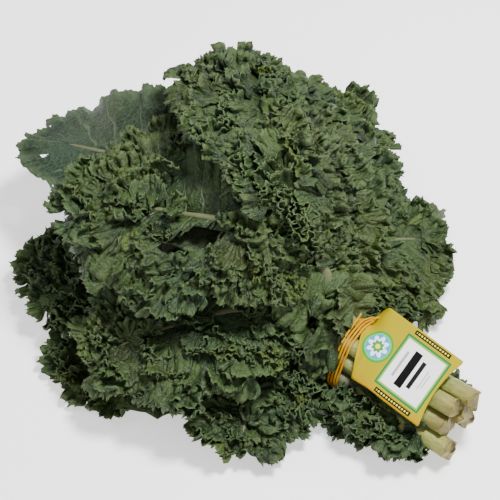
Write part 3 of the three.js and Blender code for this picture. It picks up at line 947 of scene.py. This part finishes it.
# ------------------------------------------------------------------ materials


def add_node(tree, kind, inputs=None, **settings):
    """Adds a shader node; an input is given by name or number, as a value or another's output."""
    node = tree.nodes.new("ShaderNode" + kind)
    for name, value in settings.items():
        setattr(node, name, value)
    for name, value in (inputs or {}).items():
        if isinstance(value, bpy.types.NodeSocket):
            tree.links.new(value, node.inputs[name])
        else:
            node.inputs[name].default_value = value
    return node


def compute(tree, operation, *values):
    return add_node(tree, "Math", dict(enumerate(values)), operation=operation).outputs[0]


def fade(tree, value, low, high, to_low=0.0, to_high=1.0):
    """A value carried smoothly from one range to another, and held past both ends."""
    inputs = {"Value": value, "From Min": low, "From Max": high, "To Min": to_low, "To Max": to_high}
    return add_node(tree, "MapRange", inputs, interpolation_type="SMOOTHSTEP").outputs["Result"]


def blend(tree, share, first, second):
    """Mixes two colours, each a colour or another node's output."""
    inputs = {"Factor": share}
    node = add_node(tree, "Mix", inputs, data_type="RGBA", blend_type="MIX", clamp_factor=True)
    for socket, color in (("A_Color", first), ("B_Color", second)):
        place = next(inp for inp in node.inputs if inp.identifier == socket)
        if isinstance(color, bpy.types.NodeSocket):
            tree.links.new(color, place)
        else:
            place.default_value = (*color, 1)
    return next(out for out in node.outputs if out.identifier == "Result_Color")


def new_group(name, takes, gives):
    """A shader node group with plain value inputs, and its input and output nodes."""
    group = bpy.data.node_groups.new(name, "ShaderNodeTree")
    for label in takes:
        group.interface.new_socket(label, in_out="INPUT", socket_type="NodeSocketFloat")
    for label in gives:
        group.interface.new_socket(label, in_out="OUTPUT", socket_type="NodeSocketFloat")
    source = group.nodes.new("NodeGroupInput")
    return group, source.outputs, group.nodes.new("NodeGroupOutput").inputs


def noise(tree, place, scale, detail=3.0, rough=0.55):
    inputs = {"Vector": place, "Scale": scale, "Detail": detail, "Roughness": rough}
    return add_node(tree, "TexNoise", inputs).outputs["Fac"]


def object_place(tree):
    return add_node(tree, "TexCoord").outputs["Object"]


def map_place(tree, name):
    """The place on a piece's own map, as its X and Y."""
    place = add_node(tree, "UVMap", uv_map=name).outputs["UV"]
    return add_node(tree, "SeparateXYZ", {"Vector": place}).outputs


LEAF_NOISES = [  # mark, its scale and its detail
    ("Regions", 13.0, 1.0),
    ("Patches", 38.0, 3.0),
    ("Specks", 330.0, 2.0),
    ("Grain", 600.0, 3.0),
]


def leaf_marks_group():
    """Marks of a leaf's skin: patches of tone, fine grain, and the veins with their net."""
    marks = [name for name, _, _ in LEAF_NOISES]
    group, given, gives = new_group("leaf marks", ["Vein width"], [*marks, "Veins", "Net"])
    place = object_place(group)
    for name, scale, detail in LEAF_NOISES:
        group.links.new(noise(group, place, scale, detail), gives[name])
    sheet = map_place(group, "sheet")
    sway = compute(group, "MULTIPLY", noise(group, place, 60.0), 0.5)
    across = compute(group, "PINGPONG", compute(group, "ADD", sheet["X"], sway), 0.5)
    narrowing = compute(group, "SUBTRACT", 1.25, sheet["Y"])
    width = compute(group, "MULTIPLY", given["Vein width"], narrowing)
    veins = compute(group, "SUBTRACT", 1.0, compute(group, "DIVIDE", across, width))
    group.links.new(compute(group, "MAXIMUM", veins, 0.0), gives["Veins"])
    cells = {"Vector": place, "Scale": 210.0, "Randomness": 1.0}
    net = add_node(group, "TexVoronoi", cells, feature="DISTANCE_TO_EDGE").outputs["Distance"]
    group.links.new(fade(group, net, 0.0, 0.16, 1.0, 0.0), gives["Net"])
    return group


def new_material(name, specular):
    """A material with its tree and its shader's inputs."""
    material = bpy.data.materials.new(name)
    material.use_nodes = True
    tree = material.node_tree
    shader = tree.nodes["Principled BSDF"].inputs
    shader["Specular IOR Level"].default_value = specular
    return material, tree, shader


def finish(tree, shader, color, roughness, height, strength, distance):
    """Gives a material its colour, its roughness and its raised surface."""
    tree.links.new(color, shader["Base Color"])
    tree.links.new(roughness, shader["Roughness"])
    bump = add_node(tree, "Bump", {"Height": height, "Strength": strength, "Distance": distance})
    tree.links.new(bump.outputs["Normal"], shader["Normal"])


VEIN_WIDTH = 0.07
BLOOM_TINT = (0.95, 1.12, 1.7)
OLIVE_TINT = (1.6, 1.2, 0.7)


def tinted(deep, light, tint):
    """The middle of two colours, tinted."""
    return tuple(0.5 * (low + high) * share for low, high, share in zip(deep, light, tint))


def leaf_material(name, marks, deep, light, rim, young, vein, veins_shown, sheen):
    """Leaf skin: mottled green, lightened towards the margin by a painted highlight, with pale veins
    and a waxy bloom.
    """
    material, tree, shader = new_material(name, 0.28)
    out = add_node(tree, "Group", {"Vein width": VEIN_WIDTH}, node_tree=marks).outputs
    tone = add_node(tree, "Attribute", attribute_name="tone").outputs["Fac"]
    uneven = compute(tree, "ADD", out["Patches"], compute(tree, "MULTIPLY", out["Specks"], 0.8))
    mixed = compute(tree, "MULTIPLY_ADD", compute(tree, "SUBTRACT", uneven, 0.9), 1.6, tone)
    bloom, olive = (tinted(deep, light, tint) for tint in (BLOOM_TINT, OLIVE_TINT))
    color = blend(tree, fade(tree, mixed, 0.0, 0.9), deep, light)
    color = blend(tree, fade(tree, out["Regions"], 0.50, 0.66, 0.0, 0.55), color, bloom)
    color = blend(tree, fade(tree, out["Regions"], 0.34, 0.48, 0.6, 0.0), color, olive)
    outward = map_place(tree, "sheet")["Y"]
    # painted highlight: the sheet is lightened towards its margin to the rim colour, where the curled
    # edges of the frill catch the light
    painted_rim_highlight = compute(tree, "MULTIPLY", fade(tree, outward, 0.68, 1.0), 0.7)
    color = blend(tree, painted_rim_highlight, color, rim)
    color = blend(tree, fade(tree, tone, 0.76, 0.90, 0.0, 0.75), color, young)
    lines = compute(tree, "MAXIMUM", compute(tree, "MULTIPLY", out["Net"], 0.3), out["Veins"])
    color = blend(tree, compute(tree, "MULTIPLY", lines, veins_shown), color, vein)
    roughness = fade(tree, out["Patches"], 0.3, 0.7, sheen, sheen + 0.2)
    puffed = compute(tree, "SUBTRACT", compute(tree, "MULTIPLY", out["Grain"], 1.2), lines)
    puffed = compute(tree, "MULTIPLY_ADD", out["Specks"], 2.0, puffed)
    finish(tree, shader, color, roughness, puffed, 0.8, 0.0009)
    return material


def stalk_material():
    """Pale, ridged skin of a stalk, streaked along its length and browner at the cut."""
    green, pale = (0.19, 0.21, 0.045), (0.36, 0.37, 0.115)
    dark, brown, midrib = (0.13, 0.17, 0.035), (0.18, 0.125, 0.035), (0.105, 0.115, 0.062)
    material, tree, shader = new_material("stalk skin", 0.3)
    spread = map_place(tree, "stalk")
    place = object_place(tree)
    around = compute(tree, "SINE", compute(tree, "MULTIPLY", spread["X"], WHOLE_TURN))
    aside = compute(tree, "COSINE", compute(tree, "MULTIPLY", spread["X"], WHOLE_TURN))
    length = compute(tree, "MULTIPLY", spread["Y"], 6.0)
    ring = add_node(tree, "CombineXYZ", {"X": around, "Y": aside, "Z": length}).outputs["Vector"]
    streaks = noise(tree, ring, 7.0, 3.0, 0.6)
    blotches = noise(tree, place, 50.0, 3.0)
    color = blend(tree, fade(tree, streaks, 0.3, 0.7), green, pale)
    color = blend(tree, fade(tree, blotches, 0.45, 0.7, 0.0, 0.8), color, dark)
    browned = compute(tree, "MULTIPLY", fade(tree, spread["Y"], 0.0, 0.09, 1.4, 0.0), blotches)
    color = blend(tree, browned, color, brown)
    color = blend(tree, fade(tree, spread["Y"], 0.27, 0.42, 0.0, 0.92), color, midrib)
    finish(tree, shader, color, fade(tree, blotches, 0.3, 0.7, 0.36, 0.55), streaks, 0.5, 0.0008)
    return material


def cut_material():
    """The cut across a stalk: pale, moist and fibrous, with browned pores."""
    brown, pale, pore = (0.20, 0.145, 0.045), (0.34, 0.31, 0.10), (0.20, 0.16, 0.05)
    material, tree, shader = new_material("stalk cut", 0.3)
    place = object_place(tree)
    coarse = noise(tree, place, 260.0, 4.0)
    pores = add_node(tree, "TexVoronoi", {"Vector": place, "Scale": 900.0}).outputs["Distance"]
    color = blend(tree, fade(tree, coarse, 0.35, 0.65), brown, pale)
    color = blend(tree, fade(tree, pores, 0.25, 0.6, 0.0, 0.6), color, pore)
    finish(tree, shader, color, fade(tree, coarse, 0.3, 0.7, 0.5, 0.75), coarse, 0.7, 0.001)
    return material


leaf_marks = leaf_marks_group()
# The rim colour of each leaf material is a painted highlight along the margins.
leaf_face = leaf_material(
    "leaf face", leaf_marks, deep=(0.0052, 0.013, 0.0035), light=(0.042, 0.073, 0.018),
    rim=(0.068, 0.105, 0.032), young=(0.062, 0.092, 0.015), vein=(0.11, 0.15, 0.07),
    veins_shown=0.4, sheen=0.38,
)
leaf_back = leaf_material(
    "leaf back", leaf_marks, deep=(0.008, 0.018, 0.007), light=(0.037, 0.062, 0.029),
    rim=(0.062, 0.096, 0.042), young=(0.078, 0.108, 0.025), vein=(0.13, 0.17, 0.10),
    veins_shown=0.5, sheen=0.48,
)
# painted highlight: the sheets' rims take greens lighter than those of the face, so that the margins
# show lit
leaf_edge_highlight = leaf_material(
    "leaf edge highlight", leaf_marks, deep=(0.022, 0.042, 0.014), light=(0.070, 0.112, 0.042),
    rim=(0.090, 0.135, 0.050), young=(0.100, 0.140, 0.025), vein=(0.11, 0.15, 0.07),
    veins_shown=0.1, sheen=0.48,
)
stalk_skin = stalk_material()
stalk_cut = cut_material()


def strand_material():
    """Dyed strand of twisted fibre, with lighter and darker fibres along it."""
    dark, light, stain = (0.44, 0.17, 0.001), (0.66, 0.35, 0.002), (0.66, 0.45, 0.008)
    material, tree, shader = new_material("tie strand", 0.15)
    place = object_place(tree)
    fine = add_node(tree, "Mapping", {"Vector": place, "Scale": (2600, 160, 160)}).outputs["Vector"]
    fibres = noise(tree, fine, 1.0, 2.0)
    stains = noise(tree, place, 120.0)
    color = blend(tree, fade(tree, fibres, 0.3, 0.7), dark, light)
    color = blend(tree, fade(tree, stains, 0.5, 0.8, 0.0, 0.4), color, stain)
    finish(tree, shader, color, fade(tree, fibres, 0.3, 0.7, 0.7, 0.5), fibres, 0.8, 0.0004)
    return material


def box_distance(tree, place, middle, half):
    """How far a place on the card is outside of an upright box, negative inside it."""
    past = []
    for value, mid, reach in zip(place, middle, half):
        aside = compute(tree, "ABSOLUTE", compute(tree, "SUBTRACT", value, mid))
        past.append(compute(tree, "SUBTRACT", aside, reach))
    return compute(tree, "MAXIMUM", *past)


def paint(tree, color, distance, ink):
    """Lays ink where a distance is negative."""
    return blend(tree, fade(tree, distance, -PRINT_EDGE, PRINT_EDGE, 1.0, 0.0), color, ink)


def print_panel(tree, color, place):
    """A framed panel with plain bars in it."""
    panel = box_distance(tree, place, PANEL_MIDDLE, PANEL_HALF)
    for rim, ink in PANEL_RIMS:
        distance = compute(tree, "SUBTRACT", panel, rim) if rim else panel
        color = paint(tree, color, distance, ink)
    for along, half, thick, ink in PANEL_BARS:
        bar = box_distance(tree, place, (along, PANEL_MIDDLE[1]), (thick / 2, half))
        color = paint(tree, color, bar, ink)
    return color


def print_strips(tree, color, place):
    """A dark strip with a row of dots along each side of the card."""
    for side in (-1, 1):
        middle = (PANEL_MIDDLE[0], side * STRIP_ASIDE)
        color = paint(tree, color, box_distance(tree, place, middle, STRIP_HALF), STRIP_INK)
        beat = compute(tree, "PINGPONG", place[0], DOT_PITCH / 2)
        beat = compute(tree, "SUBTRACT", beat, DOT_PITCH / 4)
        dots = box_distance(tree, place, middle, DOTS_HALF)
        color = paint(tree, color, compute(tree, "MAXIMUM", dots, beat), DOT_INK)
    return color


def print_rosette(tree, color, place):
    """A flower of plain rings, some of them lobed as petals."""
    x, y = (compute(tree, "SUBTRACT", value, mid) for value, mid in zip(place, ROSETTE_MIDDLE))
    squares = compute(tree, "POWER", x, 2.0), compute(tree, "POWER", y, 2.0)
    radius = compute(tree, "SQRT", compute(tree, "ADD", *squares))
    angle = compute(tree, "ARCTAN2", y, x)
    wave = compute(tree, "COSINE", compute(tree, "MULTIPLY", angle, ROSETTE_PETALS / 2))
    petals = compute(tree, "ABSOLUTE", wave)
    for reach, ink, lobed in ROSETTE_RINGS:
        outline = compute(tree, "MULTIPLY_ADD", petals, reach * lobed, reach * (1 - lobed))
        color = paint(tree, color, compute(tree, "SUBTRACT", radius, outline), ink)
    return color


def card_material():
    """Coated yellow card with a plain generic print: a rosette, a framed panel and dotted strips."""
    yellow, orange_mottle_and_shade = (0.36, 0.298, 0.0), (0.42, 0.20, 0.0)
    material, tree, shader = new_material("card print", 0.08)
    spread = map_place(tree, "card")
    x = compute(tree, "MULTIPLY", spread["X"], CARD_LENGTH)
    y = compute(tree, "MULTIPLY", compute(tree, "SUBTRACT", spread["Y"], 0.5), CARD_LENGTH)
    place = object_place(tree)
    mottle = noise(tree, place, 35.0)
    color = blend(tree, fade(tree, mottle, 0.3, 0.7, 0.0, 0.12), yellow, orange_mottle_and_shade)
    # painted shade: the card turns orange towards its end at the tie, where it curls over the tie, and
    # towards its near edge, where it bends down; the faint orange mottle is the card's own
    color = blend(tree, fade(tree, x, 0.0, 0.022, 0.7, 0.0), color, orange_mottle_and_shade)
    color = blend(tree, fade(tree, y, -0.030, -0.021, 0.6, 0.0), color, orange_mottle_and_shade)
    for add_print in (print_panel, print_strips, print_rosette):
        color = add_print(tree, color, (x, y))
    roughness = fade(tree, mottle, 0.3, 0.7, 0.38, 0.52)
    finish(tree, shader, color, roughness, noise(tree, place, 500.0, 2.0), 0.15, 0.0003)
    return material


tie_strand = strand_material()
card_print = card_material()

# ------------------------------------------------------------------ tie and card


def make_tie(material):
    """The strands of the tie, rounded off from the plain ones."""
    shape = bmesh.new()
    shape.from_mesh(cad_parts["tie"].data)
    bmesh.ops.remove_doubles(shape, verts=shape.verts, dist=0.00002)
    every_way = dict(use_axis_x=True, use_axis_y=True, use_axis_z=True)
    bmesh.ops.smooth_vert(shape, verts=shape.verts, factor=0.3, **every_way)
    tie = new_piece("tie_strands", shape, [material])
    rounding = tie.modifiers.new("rounding", "SUBSURF")
    rounding.levels = rounding.render_levels = 1
    return tie


def card_plan():
    """The card from above: how far along it each point is and how far across, and its X and Y."""
    rows = np.array(CARD_OUTLINE)
    columns, lines = CARD_GRID
    share, across = np.meshgrid(np.linspace(0, 1, columns + 1), np.linspace(-1, 1, lines + 1))
    corner = CARD_CORNER * between(0.93, 1, np.abs(across))
    hollow = CARD_HOLLOW * (1 - across**2) + corner
    along = rows[0, 0] + (rows[-1, 0] - rows[0, 0]) * share - hollow * share**6
    near, far = (np.interp(along, rows[:, 0], rows[:, k]) for k in (1, 2))
    x = TIE_AT.x + along
    y = TIE_AT.y + (near + far) / 2 + across * ((far - near) / 2 - CARD_INSET)
    return along, across, x, y


def card_heights(along, across, x, y):
    """How high the card lies: as the plain one does, but its free part evened to one plane."""
    felt = felt_heights(felt_tree(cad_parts["card"]), x, y, 0.06)
    z = felt.reshape(x.shape)
    flat = along > CARD_FLAT_FROM
    terms = np.stack([x, y, np.ones_like(x)], -1)
    level = terms @ np.linalg.lstsq(terms[flat], z[flat], rcond=None)[0]
    z += (level - z) * between(-0.3, 0.7, across) * between(-0.006, 0.012, along)
    for _ in range(CARD_EVENED):
        z[1:-1, 1:-1] = (z[:-2, 1:-1] + z[2:, 1:-1] + z[1:-1, :-2] + z[1:-1, 2:]) / 4
    return z


def make_card(material):
    """The card: a sheet laid on the plain one, with its far edge hollowed."""
    along, across, x, y = card_plan()
    points = np.stack([x, y, card_heights(along, across, x, y)], -1)
    aside = y - TIE_AT.y - CARD_MIDDLE - CARD_TURN * along
    far = along - CARD_OUTLINE[0][0]
    places = np.stack([far / CARD_LENGTH, 0.5 + aside / CARD_LENGTH], -1)
    shape = bmesh.new()
    lay_grid(shape, points, shape.loops.layers.uv.new("card"), places)
    card = new_piece("card_sheet", shape, [material])
    give_thickness(card, CARD_THICK, offset=-1)
    return card


# ------------------------------------------------------------------ making the bunch

leaves = []
for forms in ROWS:
    for place, leaf in enumerate(forms):
        leaf["seat"] = (place - (len(forms) - 1) / 2) * STALK_PITCH
        leaf["node"] = f"leaf_{len(leaves) + 1:02d}"
        leaves.append((leaf, Lie(leaf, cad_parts[leaf["node"]])))

for number, (leaf, lie) in enumerate(leaves, 1):
    random = np.random.default_rng(100 + number)
    others = [other.tree for _, other in leaves if other is not lie]
    faces = [leaf_face, leaf_back, leaf_edge_highlight]
    if leaf.get("plain"):
        faces = [leaf_back, leaf_face, leaf_edge_highlight]
    foliage = make_foliage(f"foliage_{number:02d}", leaf, lie, others, random, faces)
    fit(foliage, leaf["node"])
    stalk = make_stalk(f"stalk_{number:02d}", leaf, lie, random, [stalk_skin, stalk_cut])
    fit(stalk, leaf["node"])

tie = make_tie(tie_strand)
fit(tie, "tie")
card = make_card(card_print)
fit(card, "card")

# ------------------------------------------------------------------ floor, light and camera


def add_floor():
    shape = bmesh.new()
    bmesh.ops.create_grid(shape, x_segments=1, y_segments=1, size=FLOOR_HALF)
    paper, tree, shader = new_material("floor paper", 0.2)
    shader["Roughness"].default_value = 0.8
    fibres = noise(tree, object_place(tree), 300.0)
    color = blend(tree, fibres, (0.93, 0.93, 0.93), (0.97, 0.97, 0.97))
    tree.links.new(color, shader["Base Color"])
    shader["Emission Color"].default_value = (1, 1, 1, 1)
    shader["Emission Strength"].default_value = FLOOR_GLOW
    floor = new_piece("floor", shape, [paper])


def add_light(name, place, size, power):
    lamp = bpy.data.lights.new(name, "AREA")
    lamp.size = size
    lamp.energy = power
    light = bpy.data.objects.new(name, lamp)
    light.location = place
    light.rotation_euler = (-Vector(place)).to_track_quat("-Z", "Y").to_euler()
    bpy.context.scene.collection.objects.link(light)


def add_world():
    world = bpy.data.worlds.new("studio")
    world.use_nodes = True
    background = world.node_tree.nodes["Background"].inputs
    background["Color"].default_value = (1, 1, 1, 1)
    background["Strength"].default_value = WORLD_STRENGTH
    bpy.context.scene.world = world


def add_camera():
    azimuth, elevation = math.radians(CAMERA_ROUND), math.radians(CAMERA_UP)
    back = Vector((
        math.sin(azimuth) * math.cos(elevation),
        -math.cos(azimuth) * math.cos(elevation),
        math.sin(elevation),
    ))
    right = Vector((math.cos(azimuth), math.sin(azimuth), 0))
    aim = TIE_AT + AIM_ASIDE * right + AIM_OVER * back.cross(right)
    data = bpy.data.cameras.new("camera")
    data.lens = CAMERA_LENS
    camera = bpy.data.objects.new("camera", data)
    camera.location = aim + CAMERA_AWAY * back
    camera.rotation_euler = back.to_track_quat("Z", "Y").to_euler()
    bpy.context.scene.collection.objects.link(camera)
    bpy.context.scene.camera = camera


add_floor()
for light in LIGHTS:
    add_light(*light)
add_world()
add_camera()
